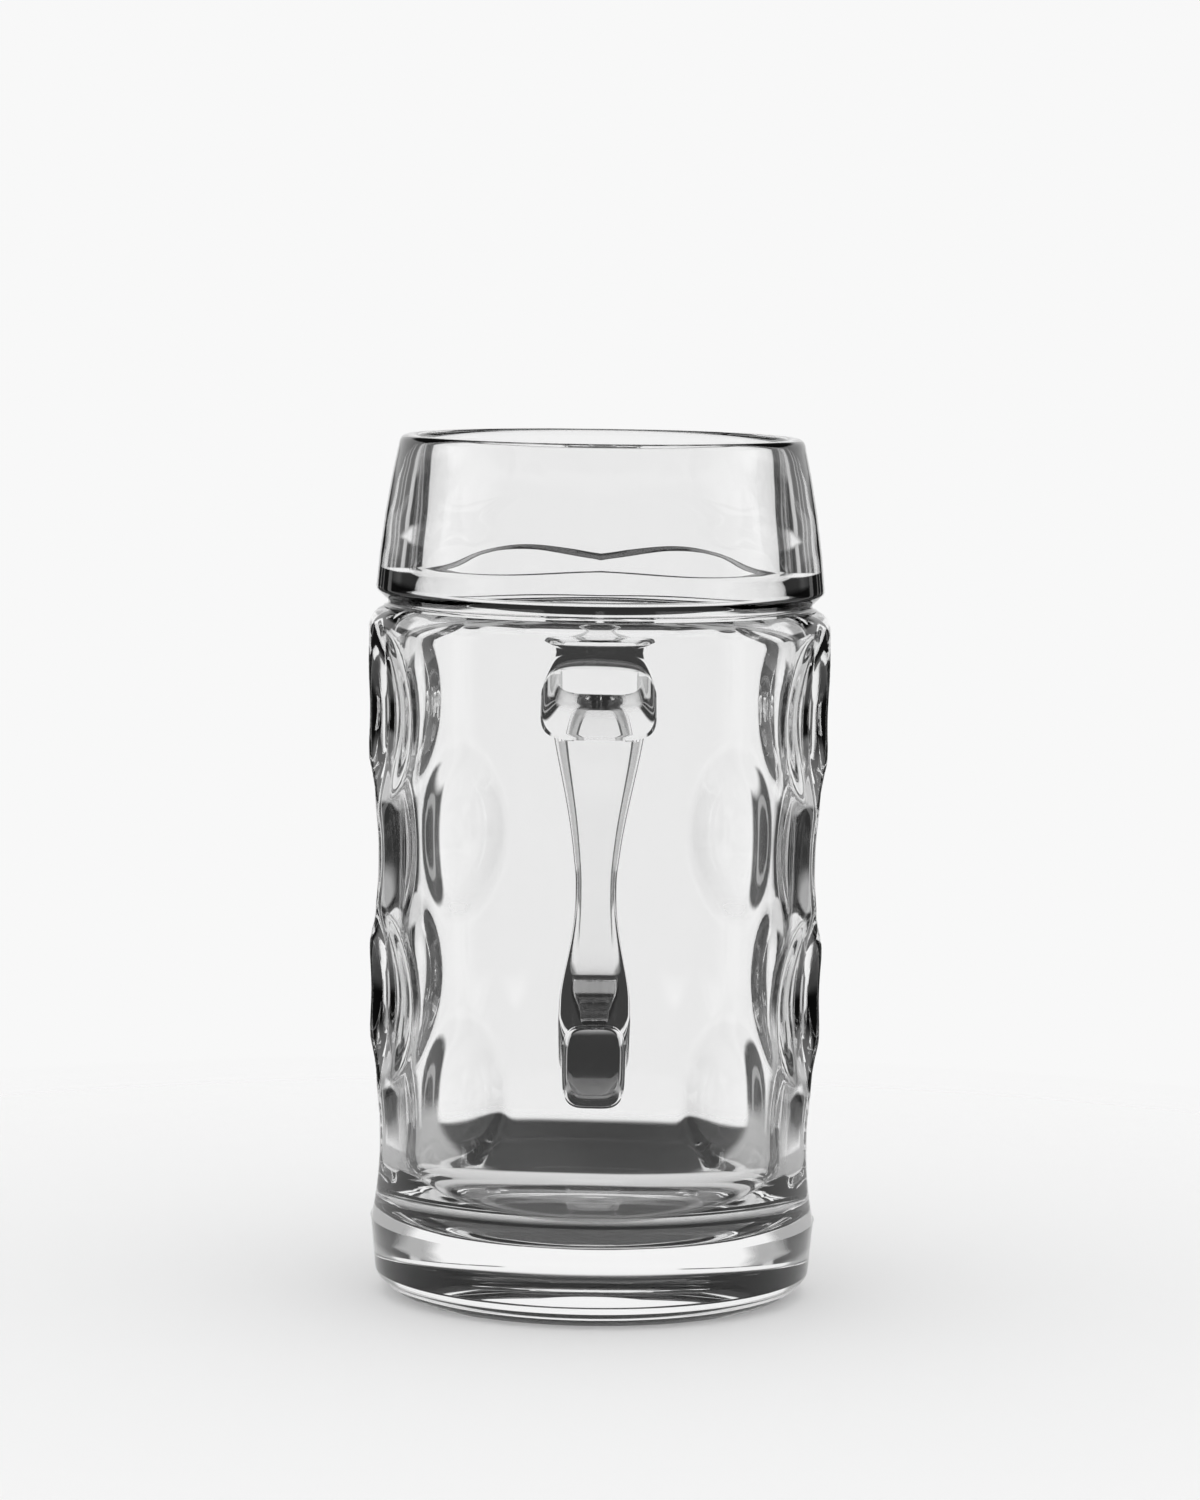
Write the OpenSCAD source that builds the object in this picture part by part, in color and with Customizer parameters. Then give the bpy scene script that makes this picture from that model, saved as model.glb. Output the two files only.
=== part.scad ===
// Dimpled glass beer mug for half a litre: a blown bowl with round dimples in staggered rows,
// a smooth front panel and a smooth collar, and a solid pressed handle fused on at two roots.
// The mug stands on z = 0, its axis is the z axis, and the handle is on the +Y side.

/* [Bowl outside] */
// Height from the table to the top of the lip
mug_h = 161.8; // [130:0.2:200]
// Widest diameter of the body, just under the shoulder
body_d = 87; // [76:1:110]
// How much the body narrows in radius from the shoulder down to the heel
body_taper = 1.5; // [0:0.1:4]
// Height of the heel, the slightly sloped foot of the body under its lowest mould line
heel_h = 14.2; // [8:0.1:16]
// How far the heel slopes in down to its slanted edge
heel_in = 1; // [0.2:0.1:3]
// Height of the slanted lower edge of the heel
heel_edge_h = 4; // [2:0.1:6]
// Width of the slanted lower edge, seen from below
heel_edge_w = 5.1; // [3:0.1:7]
// How far the slanted lower edge bows out from a straight line
heel_bow = 0.6; // [0:0.05:1]
// Width of the flat ring that the mug stands on
foot_w = 3.2; // [2:0.1:6]
// Height of the hollow under the base
push_up = 2.2; // [1:0.1:4]

/* [Collar] */
// Height of the smooth collar from its lower edge to the lip
collar_h = 28.8; // [20:0.2:34]
// How far the lower edge of the collar stands in from the widest body radius
collar_in = 1.4; // [0.5:0.1:3]
// How far the collar narrows in radius from its lower edge to the lip
collar_taper = 4.4; // [2:0.1:6]
// How far the outside of the collar bows out from a straight cone
collar_bow = 0.55; // [0:0.05:1.2]
// Depth of the groove under the collar, from the widest body radius
groove_depth = 3.7; // [2:0.1:4]
// Height of the flat bottom of the groove
groove_h = 1.2; // [0.6:0.1:2.5]
// Height of the sloped underside of the collar
collar_under_h = 2.2; // [1:0.1:4]
// Radius of the rounded shoulder under the groove
shoulder_r = 4.2; // [4:0.1:7]
// Radius of the rounded inner and outer edges of the lip
lip_edge_r = 1.5; // [0.8:0.1:2]

/* [Bowl inside] */
// Thickness of the wall between the dimples
wall_t = 5.4; // [4:0.1:8]
// Thickness of the glass behind the middle of a dimple
dimple_wall_t = 2.6; // [2.2:0.1:5]
// Thickness of the lip
lip_t = 3.6; // [3.1:0.1:5]
// Thickness of the base
base_t = 13; // [9:0.1:20]
// Radius of the rounded corner between the inner wall and the floor
floor_corner_r = 15; // [6:0.5:18]
// Height of the step that the inner wall makes from the body in to the collar
neck_h = 3; // [2.4:0.1:9]
// How far the step narrows the room in radius
neck_in = 1.8; // [0.6:0.1:3]
// How far above the lower edge of the collar the step ends
neck_above = 5; // [3:0.5:12]

/* [Dimples] */
// Number of staggered rows
dimple_rows = 4; // [2:1:5]
// Height of a dimple at the wall
dimple_d = 27.6; // [18:0.2:30]
// Depth of a dimple at its middle
dimple_depth = 4.2; // [2:0.1:5]
// Undimpled height between the shoulder and the top row
top_land_h = 1.6; // [1:0.1:8]
// Height of the undimpled base band under the lowest row
base_band_h = 16.8; // [12:0.1:26]
// Angle from the front to the forward dimple of each side in the top row and every second one below
top_front_angle = 71; // [50:1:74]
// Angle from the front to the rear dimple of each side in the same rows
top_back_angle = 108; // [104:1:130]
// Angle from the front to the forward dimple of each side in the rows between
between_front_angle = 90; // [70:1:100]
// Angle from the front to the rear dimple of each side in the rows between
between_back_angle = 135; // [132:1:145]

/* [Handle] */
// How far the handle stands out from the widest body radius
handle_reach = 43; // [34:0.5:55]
// Height of the middle of the upper root above the table
upper_root_z = 107.7; // [95:0.1:114]
// Height of the middle of the lower root above the table
lower_root_z = 36.7; // [28:0.1:50]
// Width of the grip at its slimmest place
grip_w = 10; // [8:0.1:18]
// Thickness of the grip, from the palm to the fingers
grip_t = 13; // [9:0.1:17]
// Width of the thumb rest at the top of the grip
thumb_w = 22; // [12:0.5:24]
// Width of the lower arm
lower_arm_w = 16; // [10:0.5:20]
// Width of the arm at the upper root
upper_root_w = 21.6; // [14:0.2:26]
// Height of the arm at the upper root
upper_root_h = 10.6; // [9:0.2:18]
// Width of the arm at the lower root
lower_root_w = 10.2; // [8:0.2:18]
// Height of the arm at the lower root
lower_root_h = 13.2; // [11:0.2:18]
// How much each root spreads on the bowl, to each side of the arm
root_flare = 1.6; // [1:0.1:3]

/* [Hidden] */

// Fineness of the round faces
$fn = 96;

// Overrun of the cuts past the faces that they open
cut_past = 5;

// Outside of the bowl
body_r = body_d / 2;
base_r = body_r - body_taper;
heel_low_r = base_r - heel_in;
foot_r = heel_low_r - heel_edge_w;
foot_in_r = foot_r - foot_w;
collar_z = mug_h - collar_h;
collar_r = body_r - collar_in;
lip_r = collar_r - collar_taper;
groove_r = body_r - groove_depth;
groove_z = collar_z - collar_under_h;
// The shoulder is a quarter round that the groove cuts off at this angle
shoulder_angle = acos((groove_r - body_r + shoulder_r) / shoulder_r);
shoulder_z = groove_z - groove_h - shoulder_r * sin(shoulder_angle);

// Inside of the bowl
inner_r = body_r - wall_t;
inner_base_r = base_r - wall_t;
neck_r = inner_r - neck_in;
lip_in_r = lip_r - lip_t;
neck_top_z = collar_z + neck_above;
neck_low_z = neck_top_z - neck_h;

// A dimple is cut by a ball whose cap has the dimple's diameter and depth
dimple_r = (dimple_d * dimple_d / 4 + dimple_depth * dimple_depth) / (2 * dimple_depth);
top_row_z = shoulder_z - top_land_h - dimple_d / 2;
low_row_z = base_band_h + dimple_d / 2;
row_pitch = (top_row_z - low_row_z) / (dimple_rows - 1);

// Number of straight pieces in an arc of an outline
arc_steps = 5;
bow_steps = 4;

// Points of an arc about a centre, from one angle to another
function arc(centre, r, from, to) =
    [for (i = [0 : arc_steps]) centre + r * [cos(from + (to - from) * i / arc_steps),
                                             sin(from + (to - from) * i / arc_steps)]];

// Points of a line from p to q that bows to its right by a given height
function bowed(p, q, bow) =
    let (side = [(q - p)[1], -(q - p)[0]] / norm(q - p))
    [for (i = [1 : bow_steps - 1])
        let (t = i / bow_steps) p + t * (q - p) + 4 * t * (1 - t) * bow * side];

// Points of a smooth step in radius from p up to q, level at both ends
function eased(p, q) =
    [for (i = [0 : 2 * bow_steps])
        let (t = i / (2 * bow_steps), s = t * t * (3 - 2 * t))
        [p[0] + s * (q[0] - p[0]), p[1] + t * (q[1] - p[1])]];

// Radius of the undimpled outside of the body at a height
function wall_r(z) = base_r + body_taper * (z - heel_h) / (shoulder_z - heel_h);

// Half outline of the outside of the bowl
outside_points = concat(
    [[0, 0], [foot_r, 0]],
    bowed([foot_r, 0], [heel_low_r, heel_edge_h], heel_bow),
    [[heel_low_r, heel_edge_h], [base_r, heel_h]],
    arc([body_r - shoulder_r, shoulder_z], shoulder_r, 0, shoulder_angle),
    [[groove_r, groove_z], [collar_r, collar_z]],
    bowed([collar_r, collar_z], [lip_r, mug_h - lip_edge_r], collar_bow),
    arc([lip_r - lip_edge_r, mug_h - lip_edge_r], lip_edge_r, 0, 90),
    [[0, mug_h]]
);

// Half outline of the room inside the bowl, open at the top
inside_points = concat(
    [[0, base_t]],
    arc([inner_base_r - floor_corner_r, base_t + floor_corner_r], floor_corner_r, -90, 0),
    eased([inner_r, neck_low_z], [neck_r, neck_top_z]),
    arc([lip_in_r + lip_edge_r, mug_h - lip_edge_r], lip_edge_r, 180, 90),
    [[lip_in_r + lip_edge_r, mug_h + cut_past], [0, mug_h + cut_past]]
);

// A ball at every dimple, larger than the dimple's own ball by extra
module dimple_balls(extra) {
    for (row = [0 : dimple_rows - 1]) {
        row_z = top_row_z - row * row_pitch;
        front_angle = row % 2 == 0 ? top_front_angle : between_front_angle;
        back_angle = row % 2 == 0 ? top_back_angle : between_back_angle;
        for (a = [front_angle, back_angle, -front_angle, -back_angle])
            rotate([0, 0, a])
                translate([0, -(wall_r(row_z) - dimple_depth + dimple_r), row_z])
                    sphere(r = dimple_r + extra);
    }
}

// Outside of the bowl, before the dimples
module bowl_outside() {
    rotate_extrude() polygon(outside_points);
}

// Room inside the bowl, with the glass behind each dimple standing into it
module bowl_room() {
    difference() {
        rotate_extrude() polygon(inside_points);
        dimple_balls(dimple_wall_t);
    }
}

// Shallow dome under the base, inside the foot ring
module hollow_under_base() {
    dome_r = (foot_in_r * foot_in_r + push_up * push_up) / (2 * push_up);
    translate([0, 0, push_up - dome_r]) sphere(r = dome_r);
}

module bowl() {
    color("whitesmoke")
        difference() {
            bowl_outside();
            dimple_balls(0);
            bowl_room();
            hollow_under_base();
        }
}

// Middle line of the handle, as distance from the axis and height.
// The upper arm rises from the bowl to the thumb rest, and the lower arm comes back at a slant.
grip_y = body_r + handle_reach - grip_t / 2;
root_y = groove_r - wall_t / 2;
root_span = upper_root_z - lower_root_z;
// Places of the middle line's control points, as shares of the reach and of the root span
grip_mid_share = 0.52;
upper_out_share = 0.8;
upper_rise_share = 0.24;
thumb_rise_share = 0.02;
lower_grip_share = 0.2;
lower_out_share = 0.52;
lower_drop_share = 0.02;
grip_mid = [grip_y, lower_root_z + grip_mid_share * root_span];
upper_line = [
    [root_y, upper_root_z],
    [root_y + upper_out_share * (grip_y - root_y), upper_root_z + upper_rise_share * root_span],
    [grip_y, upper_root_z + thumb_rise_share * root_span],
    grip_mid
];
lower_line = [
    grip_mid,
    [grip_y, lower_root_z + lower_grip_share * root_span],
    [root_y + lower_out_share * (grip_y - root_y), lower_root_z - lower_drop_share * root_span],
    [root_y, lower_root_z]
];

// Number of rings along each half of the handle, of sides around it and of rings in the flare of a root
ring_steps = 16;
ring_sides = 32;
flare_steps = 4;
// Number of rings of each half that the flare replaces, and the depth that the flare starts at in the wall
upper_rings_cut = 2;
lower_rings_cut = 3;
root_sink = 0.3;
// How square the handle's section is: 2 is an ellipse, and more is squarer
section_power = 4;
// Shares of the line: how far each root's extra height reaches, where the thumb rest starts to narrow,
// where the grip starts to widen again, and how long each of these two changes takes
root_blend_share = 0.3;
thumb_end_share = 0.3;
grip_end_share = 0.56;
waist_blend_share = 0.24;
// Shares of the line: where the lower arm starts to narrow to its root, and how long that takes
arm_end_share = 0.84;
arm_blend_share = 0.12;

// Point and direction of a cubic curve
function cubic(p, t) =
    pow(1 - t, 3) * p[0] + 3 * t * pow(1 - t, 2) * p[1]
    + 3 * t * t * (1 - t) * p[2] + pow(t, 3) * p[3];
function cubic_dir(p, t) =
    let (d = pow(1 - t, 2) * (p[1] - p[0]) + 2 * t * (1 - t) * (p[2] - p[1])
             + t * t * (p[3] - p[2]))
    d / norm(d);

// A smooth step from 0 to 1
function smooth(t) = let (c = max(0, min(1, t))) c * c * (3 - 2 * c);

// Width and thickness along the handle, where u runs from 0 at the upper root to 1 at the lower
function handle_w(u) =
    grip_w
    + (upper_root_w - thumb_w) * (1 - smooth(u / root_blend_share))
    + (thumb_w - grip_w) * (1 - smooth((u - thumb_end_share) / waist_blend_share))
    + (lower_arm_w - grip_w) * smooth((u - grip_end_share) / waist_blend_share)
    + (lower_root_w - lower_arm_w) * smooth((u - arm_end_share) / arm_blend_share);
function handle_t(u) =
    grip_t
    + (upper_root_h - grip_t) * (1 - smooth(u / root_blend_share))
    + (lower_root_h - grip_t) * smooth((u - 1 + root_blend_share) / root_blend_share);

// Rounded rectangle with the given half sizes, as a superellipse point at angle a
function section(a, half_w, half_t) =
    [half_w * sign(cos(a)) * pow(abs(cos(a)), 2 / section_power),
     half_t * sign(sin(a)) * pow(abs(sin(a)), 2 / section_power)];

// One ring of points round the middle line
function ring(p, dir, u) =
    [for (k = [0 : ring_sides - 1])
        let (s = section(360 * k / ring_sides, handle_w(u) / 2, handle_t(u) / 2))
        [s[0], p[0] - s[1] * dir[1], p[1] + s[1] * dir[0]]];

arm_rings = concat(
    [for (i = [upper_rings_cut : ring_steps - 1])
        let (t = i / ring_steps) ring(cubic(upper_line, t), cubic_dir(upper_line, t), t / 2)],
    [for (i = [0 : ring_steps - lower_rings_cut])
        let (t = i / ring_steps) ring(cubic(lower_line, t), cubic_dir(lower_line, t), (1 + t) / 2)]
);

// Distance of the bowl's wall from the plane of the axis, beside the plane of the handle
function wall_y(x, z) = sqrt(pow(wall_r(z), 2) - x * x);

// Rings of a root, from inside the wall out towards the arm's last ring. The outline on the wall is
// a root's section with its flare, upright for side = 1 at the upper root and -1 at the lower,
// and eases to the arm's ring along a quarter round.
function root_rings(arm_ring, half_w, half_h, middle_z, side) =
    [for (i = [-1 : flare_steps - 1])
        let (s = i < 0 ? 0 : pow(i / flare_steps, 2), blend = 1 - sqrt(1 - pow(1 - s, 2)))
        [for (k = [0 : ring_sides - 1])
            let (foot = section(360 * k / ring_sides, half_w, half_h),
                 x = arm_ring[k][0] + blend * (foot[0] - arm_ring[k][0]),
                 z = arm_ring[k][2] + blend * (middle_z + side * foot[1] - arm_ring[k][2]),
                 out = arm_ring[k][1] - wall_y(arm_ring[k][0], arm_ring[k][2]))
            [x, i < 0 ? root_y : wall_y(x, z) - root_sink + s * (out + root_sink), z]]];

function reversed(list) = [for (i = [len(list) - 1 : -1 : 0]) list[i]];

upper_root_rings = root_rings(arm_rings[0], upper_root_w / 2 + root_flare,
                              upper_root_h / 2 + root_flare, upper_root_z, 1);
lower_root_rings = root_rings(arm_rings[len(arm_rings) - 1], lower_root_w / 2 + root_flare,
                              lower_root_h / 2 + root_flare, lower_root_z, -1);
handle_rings = concat(upper_root_rings, arm_rings, reversed(lower_root_rings));

// Solid through a list of rings that have the same number of points
module skin(rings) {
    n = len(rings);
    m = len(rings[0]);
    points = [for (r = rings) each r];
    sides = [for (i = [0 : n - 2], k = [0 : m - 1])
        [i * m + k, i * m + (k + 1) % m, (i + 1) * m + (k + 1) % m, (i + 1) * m + k]];
    ends = [[for (k = [m - 1 : -1 : 0]) k], [for (k = [0 : m - 1]) (n - 1) * m + k]];
    polyhedron(points, concat(sides, ends));
}

module handle() {
    color("gainsboro")
        difference() {
            skin(handle_rings);
            bowl_outside();
        }
}

bowl();
handle();
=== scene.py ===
"""Looks of a dimpled glass beer mug: a clear bowl and its fused handle on a pale table, lit from behind."""
import math

import bpy
import numpy as np
from mathutils import Matrix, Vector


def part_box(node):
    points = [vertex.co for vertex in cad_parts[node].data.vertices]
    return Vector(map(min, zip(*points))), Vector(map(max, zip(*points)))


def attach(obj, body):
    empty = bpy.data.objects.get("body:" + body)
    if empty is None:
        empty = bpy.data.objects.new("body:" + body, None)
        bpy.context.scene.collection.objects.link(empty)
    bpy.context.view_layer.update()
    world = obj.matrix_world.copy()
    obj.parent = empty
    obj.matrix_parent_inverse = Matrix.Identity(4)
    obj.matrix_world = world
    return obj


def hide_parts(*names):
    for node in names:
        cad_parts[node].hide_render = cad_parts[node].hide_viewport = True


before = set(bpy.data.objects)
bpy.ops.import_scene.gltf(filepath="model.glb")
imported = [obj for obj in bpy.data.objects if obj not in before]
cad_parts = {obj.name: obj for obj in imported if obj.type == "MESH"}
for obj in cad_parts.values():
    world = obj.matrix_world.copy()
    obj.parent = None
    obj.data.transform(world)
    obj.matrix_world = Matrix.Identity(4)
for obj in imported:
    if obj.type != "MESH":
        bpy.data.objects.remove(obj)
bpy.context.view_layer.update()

MM = 0.001

# Outside of the bowl, in metres
BODY_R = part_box("bowl")[1].x
MUG_H = 161.8 * MM
BODY_TAPER = 1.5 * MM
HEEL_H = 14.2 * MM
HEEL_IN = 1.0 * MM
HEEL_TOP_R = 2.0 * MM
HEEL_EDGE_H = 4.0 * MM
HEEL_EDGE_W = 5.1 * MM
HEEL_EDGE_R = 2.0 * MM
HEEL_BOW_R = 8.0 * MM
FOOT_W = 3.2 * MM
FOOT_INNER_EDGE_R, FOOT_OUTER_EDGE_R = 0.6 * MM, 1.0 * MM
PUSH_UP = 2.2 * MM
PUSH_UP_BOW_R = 30 * MM
COLLAR_H = 28.8 * MM
COLLAR_IN = 1.4 * MM
COLLAR_TAPER = 4.4 * MM
COLLAR_BOW = 0.55 * MM
COLLAR_BOW_R = 60 * MM
COLLAR_EDGE_R = 1.1 * MM
COLLAR_UNDER_H = 2.2 * MM
GROOVE_DEPTH = 3.7 * MM
GROOVE_H = 1.2 * MM
GROOVE_SLOPE_H = 0.2 * MM
GROOVE_EDGE_R = 0.9 * MM
SHOULDER_R = 4.2 * MM
LIP_EDGE_R = 1.5 * MM
# Where the slanted edge of the heel bows out, as shares of its width and height
HEEL_BOW_SHARES = (0.62, 0.4)

# Inside of the bowl
WALL_T = 5.4 * MM
DIMPLE_WALL_T = 2.6 * MM
LIP_T = 3.6 * MM
BASE_T = 13.0 * MM
FLOOR_CORNER_R = 15.0 * MM
NECK_H = 1.6 * MM
NECK_IN = 1.8 * MM
NECK_ABOVE = 5.0 * MM
NECK_EDGE_R = 1.0 * MM

# Dimples, at angles in degrees from the front
DIMPLE_ROWS = 4
DIMPLE_D = 27.6 * MM
DIMPLE_DEPTH = 4.2 * MM
TOP_LAND_H = 1.6 * MM
BASE_BAND_H = 16.8 * MM
TOP_ANGLES = (71, 108)
BETWEEN_ANGLES = (90, 135)
OUTER_EDGE_SOFTNESS = 4.0 * MM
INNER_EDGE_SOFTNESS = 3.0 * MM

# Radii and heights of the bowl that follow from these sizes
BASE_R = BODY_R - BODY_TAPER
COLLAR_Z = MUG_H - COLLAR_H
COLLAR_R = BODY_R - COLLAR_IN
LIP_R = COLLAR_R - COLLAR_TAPER
GROOVE_R = BODY_R - GROOVE_DEPTH
GROOVE_Z = COLLAR_Z - COLLAR_UNDER_H
INNER_R = BODY_R - WALL_T
NECK_R = INNER_R - NECK_IN
LIP_IN_R = LIP_R - LIP_T
NECK_TOP_Z = COLLAR_Z + NECK_ABOVE
SHOULDER_Z = GROOVE_Z - GROOVE_H - SHOULDER_R
DIMPLE_R = (DIMPLE_D ** 2 / 4 + DIMPLE_DEPTH ** 2) / (2 * DIMPLE_DEPTH)
TOP_ROW_Z = SHOULDER_Z - TOP_LAND_H - DIMPLE_D / 2
LOW_ROW_Z = BASE_BAND_H + DIMPLE_D / 2

# Handle
HANDLE_REACH = 43.0 * MM
UPPER_ROOT_Z = 107.7 * MM
LOWER_ROOT_Z = 36.7 * MM
GRIP_W = 10.0 * MM
GRIP_T = 13.0 * MM
UPPER_ROOT_W = 21.6 * MM
UPPER_ROOT_H = 10.6 * MM
LOWER_ROOT_W = 10.2 * MM
LOWER_ROOT_H = 13.2 * MM
THUMB_W = 22.0 * MM
LOWER_ARM_W = 16.0 * MM
ROOT_POWER, GRIP_POWER = 4, 8
FLARE_H = 3.0 * MM
FLARE_R = 1.6 * MM
UPPER_ROOT = (UPPER_ROOT_W / 2 + FLARE_R, UPPER_ROOT_H / 2 + FLARE_R, UPPER_ROOT_Z)
LOWER_ROOT = (LOWER_ROOT_W / 2 + FLARE_R, LOWER_ROOT_H / 2 + FLARE_R, LOWER_ROOT_Z)
# Control points of the middle line, as shares of the reach and of the height between the roots
GRIP_MID_SHARE = 0.52
UPPER_OUT_SHARE, UPPER_RISE_SHARE, THUMB_RISE_SHARE = 0.80, 0.24, 0.02
LOWER_OUT_SHARE, LOWER_GRIP_SHARE, LOWER_DROP_SHARE = 0.52, 0.2, 0.02
# Where the handle changes its section, as shares of the middle line from the upper root
ROOT_SHARE, THUMB_SHARE, GRIP_SHARE, WAIST_SHARE = 0.3, 0.3, 0.56, 0.24
NARROW_START_SHARE, NARROW_SHARE = 0.84, 0.12
SQUARE_START_SHARE, SQUARE_IN_SHARE = 0.12, 0.15
SQUARE_END_SHARE, SQUARE_OUT_SHARE = 0.92, 0.1

# Fineness of the surfaces
ARC_STEP = math.radians(10)
ARC_LEAST = 3
NEARLY_FLAT = math.radians(89.5)
UNDER_STEPS = 6
COLLAR_BOW_POINTS = 3
COLUMNS = 288
BODY_STEP, OTHER_STEP = 1.0 * MM, 2.0 * MM
INSIDE_STEP_SHARE = 1.5
SIDE_START_SHARE = 0.7
ANGLE_SAMPLES = 14401
ROOT_CLOSENESS, ROOT_HALF_ANGLE = 1.2, 0.36
SEAM_CLOSENESS, SEAM_HALF_ANGLE = 9.0, 0.02
HANDLE_SIDES, HANDLE_RINGS, FLARE_RINGS = 128, 110, 8
# Radius beyond the whole mug, where a ray meets no dimple
NO_DIMPLE_R = 1.0

# Mould seam and the slow unevenness of the inside
SEAM_H = 0.03 * MM
SEAM_W = 0.5 * MM
SEAM_FADE_H = 6 * MM
SEAM_START_SHARE, SEAM_FADE_SHARE = 0.8, 0.1
RIPPLE_H = 0.05 * MM
RIPPLE_FADE_H = 12 * MM
RIPPLE_START_SHARE, RIPPLE_FADE_SHARE = 0.6, 0.3
# Each wave has its number round the wall, its radians per metre of height and its phase
RIPPLE_WAVES = ((5, 46, 0.6), (3, -90, 2.0), (8, 130, 4.1))

# Wave of the inner shoulder, with angles in degrees
NECK_DROP = 2.5 * MM
NECK_HUMP_H, HUMP_ANGLE, HUMP_SPREAD = 3.6 * MM, 28, 22
NECK_FRONT_H, FRONT_SPREAD = 1.6 * MM, 35
WAVE_START_H, WAVE_FADE_H = 22 * MM, 16 * MM
NECK_BACK_IN, NECK_BACK_ANGLES = 2.4 * MM, (50, 80)
COLLAR_FADE_SHARE = 0.7
NECK_BACK_STRETCH, NECK_FRONT_STRETCH = 1.3, 2.4
STRETCH_ANGLES = (80, 120)
STRETCH_END_H, STRETCH_FADE_H = 12 * MM, 9 * MM

# Glass
GLASS_IOR, JOINT_IOR = 1.52, 1.0

# Camera
CAMERA_DISTANCE = 1049 * MM
CAMERA_HEIGHT = 203.8 * MM
CAMERA_PITCH = math.radians(5.5)
CAMERA_ROLL = math.radians(0.78)
CAMERA_RIGHT = 0.3 * MM
PHOTO_W = 1200
FOCAL_PIXELS = 5601
SENSOR_W = 36

# Light. A pair is where a change begins and ends, in degrees of azimuth from the back or of elevation
BACKGROUND = 0.939
DARK = 0.03
STRIP_EDGE = (15.0, 18.0)
STRIP_TOP = (14.0, 18.0)
# Each side strip has its two edges, the width that they fade over and its strength
SIDE_STRIPS = ((23.0, 26.0, 1.0, 0.35), (29.0, 32.0, 1.0, 0.35), (38.0, 45.0, 2.0, 0.6))
BESIDE_NEAR, BESIDE_FAR, BESIDE_TOP = (36.0, 42.0), (60.0, 66.0), (-12.0, -8.0)
BESIDE_NEAR_SHARE = 0.45
AROUND_EDGE = (75.0, 83.0)
BAND_FOOT, BAND_TOP = (-0.5, 2.0), (16.0, 22.0)
GAP_START, GAP_END = (52.0, 58.0), (74.0, 80.0)
GAP_DARK = 0.65
MIRRORED_EDGE = (80.0, 110.0)
MIRRORED_DARK = 0.85

# Table top. A pair is where a change begins and ends, in metres from the axis or degrees from the back
FLOOR_R = 300 * MM
FLOOR_SIDES = 96
FLOOR_COLOUR = 0.94
FLOOR_FADE_SHARE = 0.6
# Painted shadow: a dark ring round the mug in the table's colour, seen only through the glass
PAINTED_SHADOW_INNER, PAINTED_SHADOW_OUTER = (55 * MM, 60 * MM), (160 * MM, 178 * MM)
PAINTED_SHADOW_DARK = 0.97
# Sectors beside the handle where the painted shadow runs on to the rim, and the share by which it is paler
# elsewhere
SECTOR_START, SECTOR_END = (20.0, 28.0), (58.0, 66.0)
SECTOR_PALE = 0.45
# Painted shade under the mug in the table's colour, seen only through the glass
PAINTED_SHADE_UNDER_MUG = (36 * MM, 40 * MM)
PAINTED_SHADE_UNDER_DARK = 0.75
# Layer Weight's facing value between which the polish begins to shine
SHINE_FACING = (0.78, 0.84)


def rounded_outline(corners, longest):
    """Half outline through corners (r, z, fillet): straight stretches, with an arc of the fillet's radius at
    each corner. A stretch is cut into equal steps no longer than the longest step at its middle."""
    pts = np.array([c[:2] for c in corners], float)
    out = [pts[0][None]]
    for i in range(1, len(corners) - 1):
        p, fillet = pts[i], corners[i][2]
        a, b = pts[i - 1] - p, pts[i + 1] - p
        a, b = a / np.linalg.norm(a), b / np.linalg.norm(b)
        half = math.acos(np.clip(a @ b, -1, 1)) / 2
        if fillet <= 0 or half > NEARLY_FLAT:
            out.append(p[None])
            continue
        reach = fillet / math.tan(half)
        bisector = (a + b) / np.linalg.norm(a + b)
        centre = p + bisector * fillet / math.sin(half)
        start, end = p + a * reach - centre, p + b * reach - centre
        turn = math.pi - 2 * half
        t = np.linspace(0, 1, max(ARC_LEAST, int(turn / ARC_STEP)) + 1)[:, None]
        out.append(centre + (np.sin((1 - t) * turn) * start + np.sin(t * turn) * end) / math.sin(turn))
    out.append(pts[-1][None])
    corners_done = np.concatenate(out)
    dense = []
    for p, q in zip(corners_done[:-1], corners_done[1:]):
        step = longest(0.5 * (p + q))
        n = max(1, int(math.ceil(np.linalg.norm(q - p) / step)))
        dense.append(p + (q - p) * np.linspace(0, 1, n, endpoint=False)[:, None])
    return np.concatenate(dense + [corners_done[-1:]])


def bowed(p, q, bow, bow_r, count):
    """Corners of a line from p to q that bows out by a given height, without its two ends: a parabola's
    height is added at right angles to the line."""
    t = np.linspace(0, 1, count + 2)[1:-1]
    dr, dz = q[0] - p[0], q[1] - p[1]
    length = math.hypot(dr, dz)
    lift = 4 * t * (1 - t) * bow
    r = p[0] + t * dr + lift * dz / length
    z = p[1] + t * dz - lift * dr / length
    return [(a, b, bow_r) for a, b in zip(r, z)]


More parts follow.
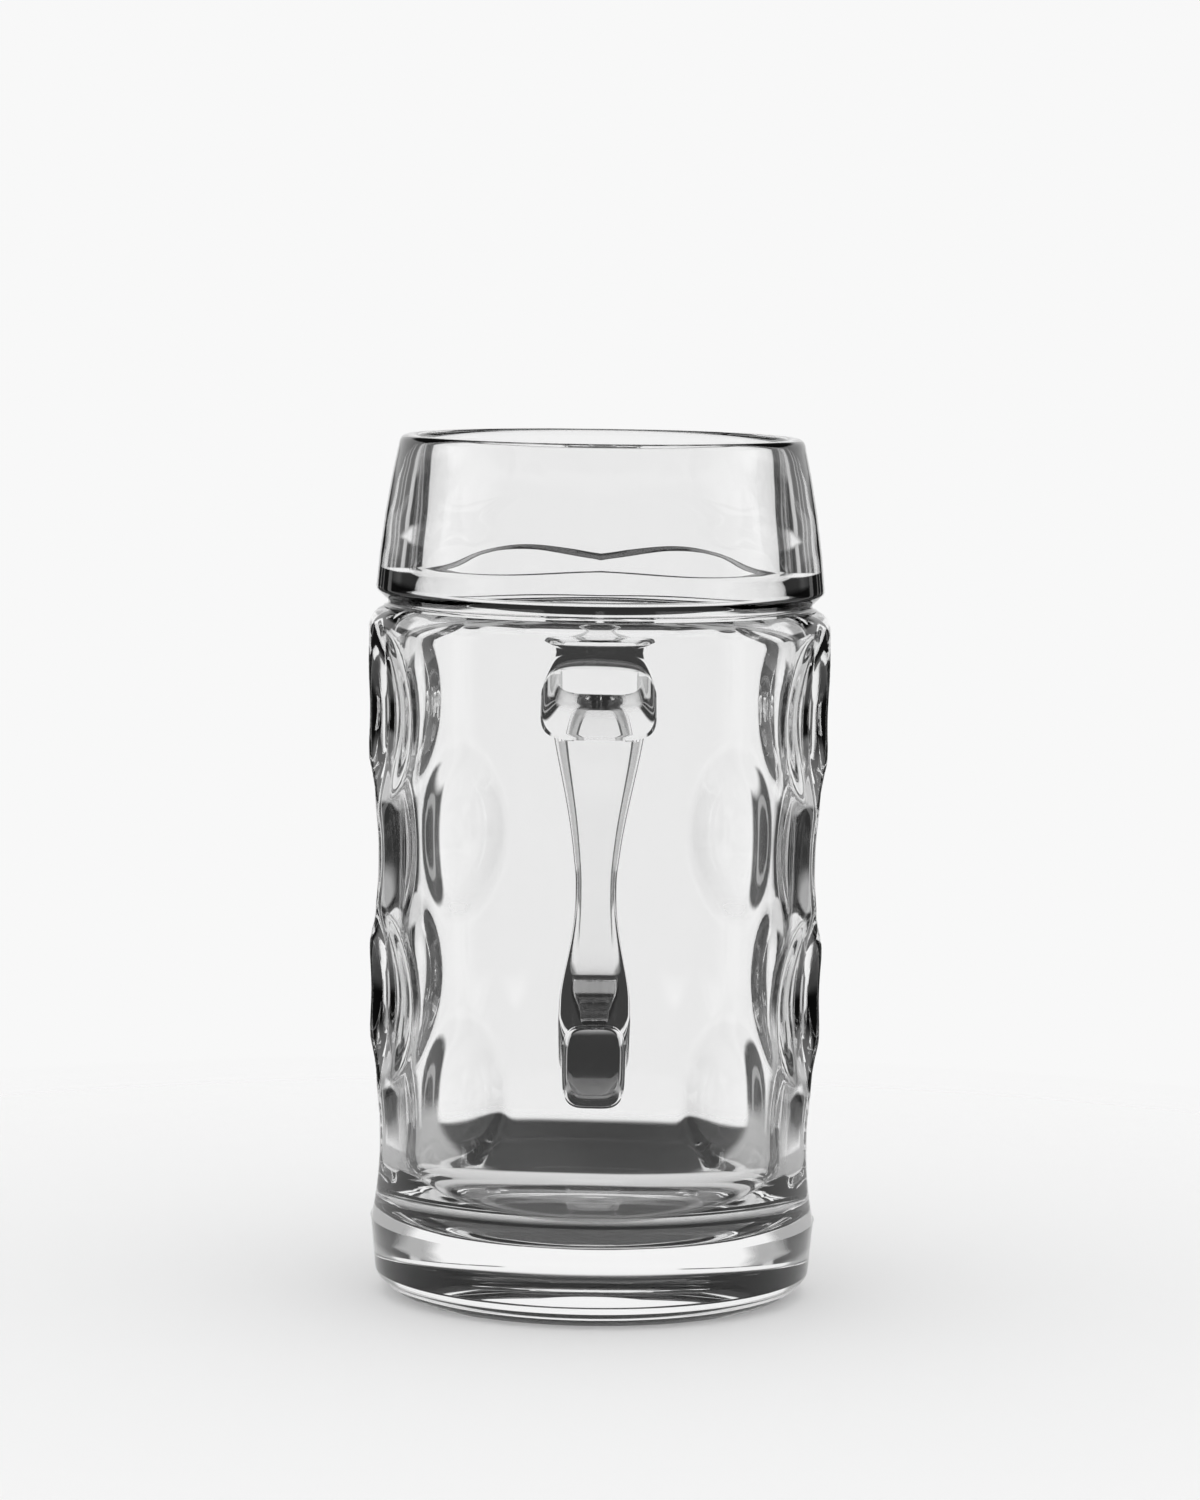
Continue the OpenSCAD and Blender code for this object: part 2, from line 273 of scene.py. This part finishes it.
def outside_outline(longest):
    """From the middle of the underside, round the foot and heel, up the body, shoulder, groove and collar,
    to the middle of the lip. The hollow under the base is a parabola."""
    heel_low_r = BASE_R - HEEL_IN
    foot_r = heel_low_r - HEEL_EDGE_W
    foot_in_r = foot_r - FOOT_W
    t = np.linspace(0, 1, UNDER_STEPS)[1:-1]
    corners = [(0, PUSH_UP, 0)]
    corners += [(r, z, PUSH_UP_BOW_R) for r, z in zip(foot_in_r * t, PUSH_UP * (1 - t ** 2))]
    corners += [
        (foot_in_r, 0, FOOT_INNER_EDGE_R),
        (foot_r, 0, FOOT_OUTER_EDGE_R),
        (foot_r + HEEL_BOW_SHARES[0] * HEEL_EDGE_W, HEEL_BOW_SHARES[1] * HEEL_EDGE_H, HEEL_BOW_R),
        (heel_low_r, HEEL_EDGE_H, HEEL_EDGE_R),
        (BASE_R, HEEL_H, HEEL_TOP_R),
        (BODY_R, SHOULDER_Z + SHOULDER_R, SHOULDER_R),
        (GROOVE_R, GROOVE_Z - GROOVE_H + GROOVE_SLOPE_H, GROOVE_EDGE_R),
        (GROOVE_R, GROOVE_Z, GROOVE_EDGE_R),
        (COLLAR_R, COLLAR_Z, COLLAR_EDGE_R),
    ]
    corners += bowed((COLLAR_R, COLLAR_Z), (LIP_R, MUG_H), COLLAR_BOW, COLLAR_BOW_R, COLLAR_BOW_POINTS)
    corners += [
        (LIP_R, MUG_H, LIP_EDGE_R),
        (LIP_R - LIP_T / 2, MUG_H, 0),
    ]
    return rounded_outline(corners, longest)


def inside_outline(longest):
    """From the middle of the lip, down the neck, through the soft step to the body, down to the floor."""
    corners = [
        (LIP_R - LIP_T / 2, MUG_H, 0),
        (LIP_IN_R, MUG_H, LIP_EDGE_R),
        (NECK_R, NECK_TOP_Z, NECK_EDGE_R),
        (INNER_R, NECK_TOP_Z - NECK_H, NECK_EDGE_R),
        (BASE_R - WALL_T, BASE_T, FLOOR_CORNER_R),
        (0, BASE_T, 0),
    ]
    return rounded_outline(corners, longest)


def dimple_places():
    """Angle from the front and height of every dimple. The front panel and the handle's zone stay smooth."""
    places = []
    for row in range(DIMPLE_ROWS):
        z = TOP_ROW_Z + (LOW_ROW_Z - TOP_ROW_Z) * row / (DIMPLE_ROWS - 1)
        for a in BETWEEN_ANGLES if row % 2 else TOP_ANGLES:
            places += [(math.radians(a), z), (-math.radians(a), z)]
    return places


def soft_min(a, b, softness):
    """The smaller of a and b, rounded over where they cross, by a parabola as wide as the softness."""
    h = np.clip(softness - np.abs(a - b), 0, None) / softness
    return np.minimum(a, b) - h * h * softness / 4


def smooth(t):
    """A smooth step from 0 to 1."""
    t = np.clip(t, 0, 1)
    return t * t * (3 - 2 * t)


def wall_r(z):
    """Radius of the undimpled outside of the body at a height."""
    return BASE_R + BODY_TAPER * (z - HEEL_H) / (SHOULDER_Z - HEEL_H)


def dimpled(radius, z, angle, extra, softness):
    """Radius with the dimples pressed in: along a level ray from the axis, a dimple's face is the near side
    of its ball, and the wall takes the smaller of its own radius and that, rounded where they meet."""
    out = radius
    for a, zc in dimple_places():
        centre = wall_r(zc) - DIMPLE_DEPTH + DIMPLE_R
        d = np.angle(np.exp(1j * (angle - a)))
        under = (DIMPLE_R + extra) ** 2 - (z - zc) ** 2 - (centre * np.sin(d)) ** 2
        hit = (under > 0) & (np.cos(d) > 0)
        near_side = centre * np.cos(d) - np.sqrt(np.where(hit, under, 0))
        out = soft_min(out, np.where(hit, near_side, NO_DIMPLE_R), softness)
    return out


def grid_faces(rows, cols):
    """Quads of a grid that is closed round its second index, wound so that they face away from the axis
    when the first index runs up."""
    i, j = np.meshgrid(np.arange(rows - 1), np.arange(cols), indexing="ij")
    k = (j + 1) % cols
    return np.stack([i * cols + j, i * cols + k, (i + 1) * cols + k, (i + 1) * cols + j], -1).reshape(-1, 4)


def end_fans(rows, cols):
    """Triangles that close the first and the last row of such a grid, each round a point of its own. The two
    points come after the grid's."""
    j = np.arange(cols)
    k = (j + 1) % cols
    last_row = (rows - 1) * cols
    first = np.stack([np.full(cols, rows * cols), k, j], -1)
    last = np.stack([np.full(cols, rows * cols + 1), last_row + j, last_row + k], -1)
    return np.concatenate([first, last])


def mesh_object(name, points, quads, triangles, slots):
    """A smooth-shaded object from whole arrays of points, quads, triangles and material slots."""
    loops = np.concatenate([quads.ravel(), triangles.ravel()])
    sizes = np.concatenate([np.full(len(quads), 4), np.full(len(triangles), 3)])
    mesh = bpy.data.meshes.new(name)
    mesh.vertices.add(len(points))
    mesh.vertices.foreach_set("co", points.astype(np.float32).ravel())
    mesh.loops.add(len(loops))
    mesh.loops.foreach_set("vertex_index", loops.astype(np.int32))
    mesh.polygons.add(len(sizes))
    mesh.polygons.foreach_set("loop_start", np.concatenate([[0], np.cumsum(sizes)[:-1]]).astype(np.int32))
    mesh.polygons.foreach_set("loop_total", sizes.astype(np.int32))
    mesh.polygons.foreach_set("use_smooth", np.ones(len(sizes), bool))
    mesh.polygons.foreach_set("material_index", slots.astype(np.int32))
    mesh.update(calc_edges=True)
    mesh.validate()
    obj = bpy.data.objects.new(name, mesh)
    bpy.context.scene.collection.objects.link(obj)
    return obj


def row_step(p):
    """Longest step between rows of the bowl's grid at a point of its outline."""
    on_body = HEEL_H < p[1] < SHOULDER_Z and p[0] > SIDE_START_SHARE * INNER_R
    return BODY_STEP if on_body else OTHER_STEP


def from_seam(angle):
    """Angles to the seam at the front and to the seam at the back."""
    from_front = np.abs((angle + math.pi) % (2 * math.pi) - math.pi)
    return from_front, math.pi - from_front


def column_angles():
    """Azimuths of the bowl's columns: even, but closer together over the handle's roots and closest at the
    two mould seams. They are read off the running sum of the wanted closeness."""
    a = np.linspace(0, 2 * math.pi, ANGLE_SAMPLES)
    from_front, from_back = from_seam(a)
    closeness = (1 + ROOT_CLOSENESS * (from_back < ROOT_HALF_ANGLE)
                 + SEAM_CLOSENESS * np.exp(-(from_back / SEAM_HALF_ANGLE) ** 2)
                 + SEAM_CLOSENESS * np.exp(-(from_front / SEAM_HALF_ANGLE) ** 2))
    total = np.concatenate([[0], np.cumsum(0.5 * (closeness[1:] + closeness[:-1]))])
    return np.interp(np.arange(COLUMNS) / COLUMNS * total[-1], total, a)


def seam_ridge(angle):
    """Height of the mould seam's ridge: a narrow bell at the front and at the back."""
    off = np.minimum(*from_seam(angle)) * BODY_R
    return SEAM_H * np.exp(-(off / SEAM_W) ** 2)


def ripple(angle, z):
    """Slow unevenness of the blown inside, a mean of waves that run round and up the wall."""
    waves = sum(np.sin(turns * angle + rise * z + phase) for turns, rise, phase in RIPPLE_WAVES)
    return RIPPLE_H * waves / len(RIPPLE_WAVES)


def behind(back, near, far):
    """1 within the near angle from the back, 0 beyond the far one and a smooth step between, in degrees."""
    return 1 - smooth((back - near) / (far - near))


def neck_wave(back):
    """How much higher the inner shoulder sits than its outline, by the angle from the back: it rises to a
    bell on each side of the handle, dips to a notch between them, and rises to a low bell at the front."""
    hump = NECK_HUMP_H * np.exp(-((back - HUMP_ANGLE) / HUMP_SPREAD) ** 2)
    return hump + NECK_FRONT_H * np.exp(-((180 - back) / FRONT_SPREAD) ** 2) - NECK_DROP


def neck_stretch(back, z):
    """Shift that makes the inner shoulder taller and gentler at the front than at the back: heights within it
    are stretched about its middle, and the shift fades out above and below."""
    middle = NECK_TOP_Z - NECK_H / 2
    reach = NECK_H / 2 + NECK_EDGE_R
    front_share = 1 - behind(back, *STRETCH_ANGLES)
    more = NECK_BACK_STRETCH + (NECK_FRONT_STRETCH - NECK_BACK_STRETCH) * front_share - 1
    fade = smooth((STRETCH_END_H - np.abs(z - middle)) / STRETCH_FADE_H)
    return more * np.clip(z - middle, -reach, reach) * fade


def bowl_outer_r(outside, z, angle):
    """Radius of the outside: its outline with the dimples pressed in above the heel, and the mould seam."""
    plain = outside[:, :1] + 0 * angle
    r = np.where(z < HEEL_H, plain, dimpled(plain, z, angle, 0.0, OUTER_EDGE_SOFTNESS))
    on_side = smooth((r - SEAM_START_SHARE * BASE_R) / (SEAM_FADE_SHARE * BASE_R))
    return r + on_side * smooth((GROOVE_Z - z) / SEAM_FADE_H) * seam_ridge(angle)


def bowl_inner(inside, z, angle):
    """Radius and height of the inside: its outline with the dimples' backs standing in, the ripple below the
    inner shoulder, a neck that is narrower towards the handle, and the shoulder's wave and stretch."""
    back = 180 - np.degrees(from_seam(angle)[0])
    r = dimpled(inside[:, :1] + 0 * angle, z, angle, DIMPLE_WALL_T, INNER_EDGE_SOFTNESS)
    on_wall = smooth((inside[:, :1] - RIPPLE_START_SHARE * INNER_R) / (RIPPLE_FADE_SHARE * INNER_R))
    r = r + on_wall * ripple(angle, z) * smooth((NECK_TOP_Z - z) / RIPPLE_FADE_H)
    below_lip = smooth((MUG_H - z) / (COLLAR_FADE_SHARE * (MUG_H - NECK_TOP_Z)))
    above_step = smooth((z - NECK_TOP_Z + NECK_H) / NECK_H)
    r = r - NECK_BACK_IN * behind(back, *NECK_BACK_ANGLES) * above_step * below_lip
    near_step = smooth((z - NECK_TOP_Z + WAVE_START_H) / WAVE_FADE_H)
    return r, z + neck_stretch(back, z) + neck_wave(back) * near_step * below_lip


def make_bowl():
    """The bowl as one closed surface of revolution, outline point by angle: the outside from the underside
    up to the lip, then the inside down to the floor. The faces under the handle's roots get the second
    material."""
    outside = outside_outline(row_step)[1:]
    inside = inside_outline(lambda p: INSIDE_STEP_SHARE * row_step(p))[1:-1]
    angle = column_angles()[None, :]
    z_out = outside[:, 1:] + 0 * angle
    out_r = bowl_outer_r(outside, z_out, angle)
    in_r, z_in = bowl_inner(inside, inside[:, 1:] + 0 * angle, angle)
    r = np.concatenate([out_r, in_r])
    z = np.concatenate([z_out, z_in])
    grid = np.stack([r * np.sin(angle), -r * np.cos(angle), z], -1)
    rows, cols = r.shape
    points = np.concatenate([grid.reshape(-1, 3), [[0, 0, PUSH_UP]], [[0, 0, BASE_T]]])
    quads = grid_faces(rows, cols)
    fans = end_fans(rows, cols)
    centres = points[quads].mean(1)
    outer_back = (np.arange(len(quads)) < len(out_r) * cols) & (centres[:, 1] > 0)
    slots = np.zeros(len(quads) + len(fans), int)
    for root in (UPPER_ROOT, LOWER_ROOT):
        slots[:len(quads)][outer_back & (root_distance(root, centres[:, 0], centres[:, 2]) < 1)] = 1
    return mesh_object("glass_bowl", points, quads, fans, slots)


def cubic(p, t):
    """Points of a cubic curve with four control points."""
    p = np.asarray(p, float)
    t = t[:, None]
    return (1 - t) ** 3 * p[0] + 3 * t * (1 - t) ** 2 * p[1] + 3 * t * t * (1 - t) * p[2] + t ** 3 * p[3]


def handle_line():
    """Middle line of the handle in the plane of the axis, as distance from the axis and height: one cubic
    curve from the upper root over the thumb rest to the grip, and one from there to the lower root."""
    grip_y = BODY_R + HANDLE_REACH - GRIP_T / 2
    root_y = GROOVE_R - WALL_T / 2
    out = grip_y - root_y
    span = UPPER_ROOT_Z - LOWER_ROOT_Z
    mid = (grip_y, LOWER_ROOT_Z + GRIP_MID_SHARE * span)
    upper = [
        (root_y, UPPER_ROOT_Z),
        (root_y + UPPER_OUT_SHARE * out, UPPER_ROOT_Z + UPPER_RISE_SHARE * span),
        (grip_y, UPPER_ROOT_Z + THUMB_RISE_SHARE * span),
        mid,
    ]
    lower = [
        mid,
        (grip_y, LOWER_ROOT_Z + LOWER_GRIP_SHARE * span),
        (root_y + LOWER_OUT_SHARE * out, LOWER_ROOT_Z - LOWER_DROP_SHARE * span),
        (root_y, LOWER_ROOT_Z),
    ]
    t = np.linspace(0, 1, HANDLE_RINGS)
    return np.concatenate([cubic(upper, t), cubic(lower, t)[1:]])


def half_sizes(u):
    """Half the width and half the thickness of the handle at shares u of its middle line: smooth steps from
    the upper root to the thumb rest, to the grip, to the lower arm and to the lower root."""
    width = (GRIP_W + (UPPER_ROOT_W - THUMB_W) * (1 - smooth(u / ROOT_SHARE))
             + (THUMB_W - GRIP_W) * (1 - smooth((u - THUMB_SHARE) / WAIST_SHARE))
             + (LOWER_ARM_W - GRIP_W) * smooth((u - GRIP_SHARE) / WAIST_SHARE)
             + (LOWER_ROOT_W - LOWER_ARM_W) * smooth((u - NARROW_START_SHARE) / NARROW_SHARE))
    thickness = (GRIP_T + (UPPER_ROOT_H - GRIP_T) * (1 - smooth(u / ROOT_SHARE))
                 + (LOWER_ROOT_H - GRIP_T) * smooth((u - 1 + ROOT_SHARE) / ROOT_SHARE))
    return width / 2, thickness / 2


def signed_power(value, power):
    """The value's size raised to a power, with the value's sign."""
    return np.sign(value) * np.abs(value) ** power


def root_distance(root, x, z):
    """1 on the edge of a root's face on the bowl, less inside it: a superellipse about the root's middle."""
    half_w, half_h, middle = root
    powers = np.abs(x / half_w) ** ROOT_POWER + np.abs((z - middle) / half_h) ** ROOT_POWER
    return powers ** (1 / ROOT_POWER)


def wall_y(x, z):
    """How far the bowl's undimpled outside is from the plane of the axis, beside the handle's plane by x."""
    return np.sqrt(np.maximum(wall_r(z) ** 2 - x ** 2, 0))


def make_handle():
    """The handle as one closed skin: a superellipse carried along the middle line, wide at the upper root and
    thumb rest, slim and squarer in the grip, wider again at the lower arm. Next to the bowl the skin flares
    out and lands on the wall. Its two end faces on the wall get the second material."""
    line = handle_line()
    u = np.linspace(0, 1, len(line))
    w, t = half_sizes(u)
    d = np.gradient(line, axis=0)
    d /= np.linalg.norm(d, axis=1)[:, None]
    squarer = (smooth((u - SQUARE_START_SHARE) / SQUARE_IN_SHARE)
               * smooth((SQUARE_END_SHARE - u) / SQUARE_OUT_SHARE))
    power = 2 / (ROOT_POWER + (GRIP_POWER - ROOT_POWER) * squarer)[:, None]
    a = np.arange(HANDLE_SIDES) * 2 * math.pi / HANDLE_SIDES
    sx = signed_power(np.cos(a), power)
    st = signed_power(np.sin(a), power)
    x = w[:, None] * sx
    lift = 1 + SEAM_H / t[:, None] * np.exp(-(x / SEAM_W) ** 2)
    y = line[:, :1] - t[:, None] * st * lift * d[:, 1:]
    z = line[:, 1:] + t[:, None] * st * lift * d[:, :1]
    clear = (y - wall_y(x, z)).min(1) > FLARE_H
    first, last = np.nonzero(clear)[0][[0, -1]]
    steps = np.linspace(0, 1, FLARE_RINGS + 1)[:-1, None] ** 2
    blend = 1 - np.sqrt(1 - (1 - steps) ** 2)

    def flare(i, root, side):
        """Rings from the wall out to ring i: the root's outline on the wall eases to the ring along a
        quarter round. The side is 1 where the ring is upright and -1 where it is upside down."""
        half_w, half_h, middle = root
        fx = x[i] + blend * (half_w * sx[i] - x[i])
        fz = z[i] + blend * (middle + side * half_h * st[i] - z[i])
        off = y[i] - wall_y(x[i], z[i])
        return np.stack([fx, wall_y(fx, fz) + steps * off, fz], -1)

    body = np.stack([x, y, z], -1)[first:last + 1]
    grid = np.concatenate([flare(first, UPPER_ROOT, 1), body, flare(last, LOWER_ROOT, -1)[::-1]])
    middles = np.array([[0, wall_y(0, middle), middle] for middle in (UPPER_ROOT_Z, LOWER_ROOT_Z)])
    points = np.concatenate([grid.reshape(-1, 3), middles])
    quads = grid_faces(len(grid), HANDLE_SIDES)
    fans = end_fans(len(grid), HANDLE_SIDES)
    slots = np.concatenate([np.zeros(len(quads), int), np.ones(len(fans), int)])
    return mesh_object("glass_handle", points, quads, fans, slots)


class Socket:
    """Wraps a shader socket so that a sum or product of sockets and numbers adds its Math nodes."""

    def __init__(self, tree, value):
        self.tree, self.value = tree, value

    def math(self, operation, *others):
        node = self.tree.nodes.new("ShaderNodeMath")
        node.operation = operation
        for place, other in zip(node.inputs, (self,) + others):
            link(self.tree, place, other)
        return Socket(self.tree, node.outputs[0])

    def __add__(self, other):
        return self.math("ADD", other)

    def __sub__(self, other):
        return self.math("SUBTRACT", other)

    def __rsub__(self, other):
        return number(self.tree, other).math("SUBTRACT", self)

    def __mul__(self, other):
        return self.math("MULTIPLY", other)

    __radd__ = __add__
    __rmul__ = __mul__


def link(tree, place, value):
    """Feeds a node's input with a wrapped socket, a socket or a plain value."""
    if isinstance(value, Socket):
        value = value.value
    if isinstance(value, bpy.types.NodeSocket):
        tree.links.new(value, place)
    else:
        place.default_value = value


def number(tree, value):
    """A wrapped constant."""
    node = tree.nodes.new("ShaderNodeValue")
    node.outputs[0].default_value = value
    return Socket(tree, node.outputs[0])


def add(tree, kind, settings=(), **inputs):
    """A node of a kind, with its settings made first and then the values or links of its named inputs."""
    node = tree.nodes.new(kind)
    for key, value in dict(settings).items():
        setattr(node, key, value)
    for key, value in inputs.items():
        link(tree, node.inputs[key.replace("_", " ")], value)
    return node


def ramp(tree, value, low, high):
    """0 below low, 1 above high and a smooth step between them."""
    node = add(tree, "ShaderNodeMapRange", {"interpolation_type": "SMOOTHSTEP"}, Value=value,
               From_Min=low, From_Max=high, To_Min=0.0, To_Max=1.0)
    return Socket(tree, node.outputs[0])


def empty_tree(owner):
    """The node tree of a material or world, cleared."""
    owner.use_nodes = True
    owner.node_tree.nodes.clear()
    return owner.node_tree


def glass_material(name, ior):
    """Clear soda-lime glass, or with an index of 1 the inside of a fused joint, which bends no light."""
    mat = bpy.data.materials.new(name)
    tree = empty_tree(mat)
    shader = add(tree, "ShaderNodeBsdfPrincipled", Base_Color=(1, 1, 1, 1), Roughness=0.0, IOR=ior,
                 Transmission_Weight=1.0)
    add(tree, "ShaderNodeOutputMaterial", Surface=shader.outputs[0])
    return mat


def make_camera():
    """The photograph's view: from the front, a little above the lip, pitched down and rolled a little."""
    cam = bpy.data.cameras.new("camera")
    cam.sensor_fit = "HORIZONTAL"
    cam.sensor_width = SENSOR_W
    cam.lens = SENSOR_W * FOCAL_PIXELS / PHOTO_W
    obj = bpy.data.objects.new("camera", cam)
    obj.location = (CAMERA_RIGHT, -CAMERA_DISTANCE, CAMERA_HEIGHT)
    turn = Matrix.Rotation(math.pi / 2 - CAMERA_PITCH, 4, "X") @ Matrix.Rotation(CAMERA_ROLL, 4, "Z")
    obj.matrix_world = Matrix.Translation(obj.location) @ turn
    bpy.context.scene.collection.objects.link(obj)
    bpy.context.scene.camera = obj


def from_back(x, y):
    """Angle from straight behind the mug, in degrees, alike on both sides."""
    return x.math("ARCTAN2", y).math("ABSOLUTE") * (180 / math.pi)


def make_world():
    """Light by direction. Bright are a low strip behind the mug with three narrow strips on each side, a band
    round the horizon with a gap on each side, the room below it beside the mug, and the camera's half. The
    rest is dark, so that the edges of the glass draw dark lines. Mirrored in the glass, the camera's half is
    dimmer. The camera itself sees an even pale background, and dull surfaces get plain white light."""
    world = bpy.data.worlds.new("studio")
    bpy.context.scene.world = world
    tree = empty_tree(world)
    path = add(tree, "ShaderNodeLightPath")
    seen = Socket(tree, path.outputs["Is Camera Ray"])
    plain = Socket(tree, path.outputs["Diffuse Depth"]).math("MINIMUM", 1.0)
    mirrored = Socket(tree, path.outputs["Glossy Depth"]).math("MINIMUM", 1.0)
    direction = add(tree, "ShaderNodeTexCoord").outputs["Generated"]
    xyz = add(tree, "ShaderNodeSeparateXYZ", Vector=direction)
    x, y, z = (Socket(tree, xyz.outputs[i]) for i in range(3))
    azimuth = from_back(x, y)
    elevation = z.math("ARCSINE") * (180 / math.pi)
    below_band_top = 1 - ramp(tree, elevation, *BAND_TOP)
    strip = 1 - ramp(tree, azimuth, *STRIP_EDGE)
    sides = [strength * ramp(tree, azimuth, start, start + fade) * (1 - ramp(tree, azimuth, end - fade, end))
             for start, end, fade, strength in SIDE_STRIPS]
    low = (strip + sum(sides)) * (1 - ramp(tree, elevation, *STRIP_TOP))
    beside = (BESIDE_NEAR_SHARE * ramp(tree, azimuth, *BESIDE_NEAR)
              + (1 - BESIDE_NEAR_SHARE) * ramp(tree, azimuth, *BESIDE_FAR))
    beside = beside * (1 - ramp(tree, elevation, *BESIDE_TOP))
    around = beside.math("MAXIMUM", ramp(tree, azimuth, *AROUND_EDGE)) * below_band_top
    gap = ramp(tree, azimuth, *GAP_START) * (1 - ramp(tree, azimuth, *GAP_END))
    band = ramp(tree, elevation, *BAND_FOOT) * below_band_top * (1 - GAP_DARK * gap)
    lit = low.math("MAXIMUM", band).math("MAXIMUM", around) * (BACKGROUND - DARK) + DARK
    lit = lit * (1 - MIRRORED_DARK * mirrored * ramp(tree, azimuth, *MIRRORED_EDGE))
    strength = seen * BACKGROUND + plain + (1 - seen - plain) * lit
    back = add(tree, "ShaderNodeBackground", Color=(1, 1, 1, 1), Strength=strength)
    add(tree, "ShaderNodeOutputWorld", Surface=back.outputs[0])


def table_material():
    """A pale board that fades out at its rim. Seen through the glass, its colour holds painted shade: darker
    under the mug, and a painted shadow of the mug in a ring round it, but less dark from the handle's sides
    to the front.
    On each side of the handle the painted dark ring runs on to the rim in a sector. Elsewhere a polish shines
    at a grazing angle."""
    mat = bpy.data.materials.new("pale_table")
    tree = empty_tree(mat)
    place = add(tree, "ShaderNodeSeparateXYZ", Vector=add(tree, "ShaderNodeTexCoord").outputs["Object"])
    x, y = Socket(tree, place.outputs[0]), Socket(tree, place.outputs[1])
    away = (x * x + y * y).math("SQRT")
    azimuth = from_back(x, y)
    through = Socket(tree, add(tree, "ShaderNodeLightPath").outputs["Is Transmission Ray"])
    facing = Socket(tree, add(tree, "ShaderNodeLayerWeight").outputs["Facing"])
    aside = ramp(tree, azimuth, *SECTOR_START)
    open_side = 1 - aside * (1 - ramp(tree, azimuth, *SECTOR_END))
    # Painted shadow: the ring of darker colour round the mug, running on to the rim beside the handle
    ring = ramp(tree, away, *PAINTED_SHADOW_INNER) * (1 - open_side * ramp(tree, away, *PAINTED_SHADOW_OUTER))
    ring = ring * (1 - SECTOR_PALE * aside)
    # Painted shade under the mug. With the painted shadow ring it darkens the board's colour for rays through
    # the glass only
    under = 1 - ramp(tree, away, *PAINTED_SHADE_UNDER_MUG)
    shade = FLOOR_COLOUR * (1 - through * (PAINTED_SHADOW_DARK * ring + PAINTED_SHADE_UNDER_DARK * under))
    colour = add(tree, "ShaderNodeCombineXYZ", X=shade, Y=shade, Z=shade)
    dull = add(tree, "ShaderNodeBsdfDiffuse", Color=colour.outputs[0])
    polish = add(tree, "ShaderNodeBsdfAnisotropic", Color=(1, 1, 1, 1), Roughness=0.0)
    gone = add(tree, "ShaderNodeBsdfTransparent", Color=(1, 1, 1, 1))
    board = blend_of(tree, through * open_side * ramp(tree, facing, *SHINE_FACING), dull, polish)
    faded = blend_of(tree, ramp(tree, away, FLOOR_FADE_SHARE * FLOOR_R, FLOOR_R), board, gone)
    add(tree, "ShaderNodeOutputMaterial", Surface=faded.outputs[0])
    return mat


def blend_of(tree, share, first, second):
    """A Mix Shader with a share of the second shader."""
    node = add(tree, "ShaderNodeMixShader", Fac=share)
    tree.links.new(first.outputs[0], node.inputs[1])
    tree.links.new(second.outputs[0], node.inputs[2])
    return node


def make_floor():
    """The round table top that the mug stands on."""
    a = np.linspace(0, 2 * math.pi, FLOOR_SIDES, endpoint=False)
    points = np.stack([FLOOR_R * np.cos(a), FLOOR_R * np.sin(a), 0 * a], -1)
    mesh = bpy.data.meshes.new("table_top")
    mesh.from_pydata(points.tolist(), [], [list(range(FLOOR_SIDES))])
    floor = bpy.data.objects.new("table_top", mesh)
    bpy.context.scene.collection.objects.link(floor)
    floor.data.materials.append(table_material())


bowl = make_bowl()
handle = make_handle()
glass = glass_material("clear_glass", GLASS_IOR)
joint = glass_material("fused_joint", JOINT_IOR)
for piece in (bowl, handle):
    piece.data.materials.append(glass)
    piece.data.materials.append(joint)
for piece, node, slot in ((bowl, "bowl", "bowl_glass"), (handle, "handle", "handle_glass")):
    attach(piece, "root")
    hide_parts(node)
make_world()
make_floor()
make_camera()
bpy.context.scene.view_settings.view_transform = "Standard"
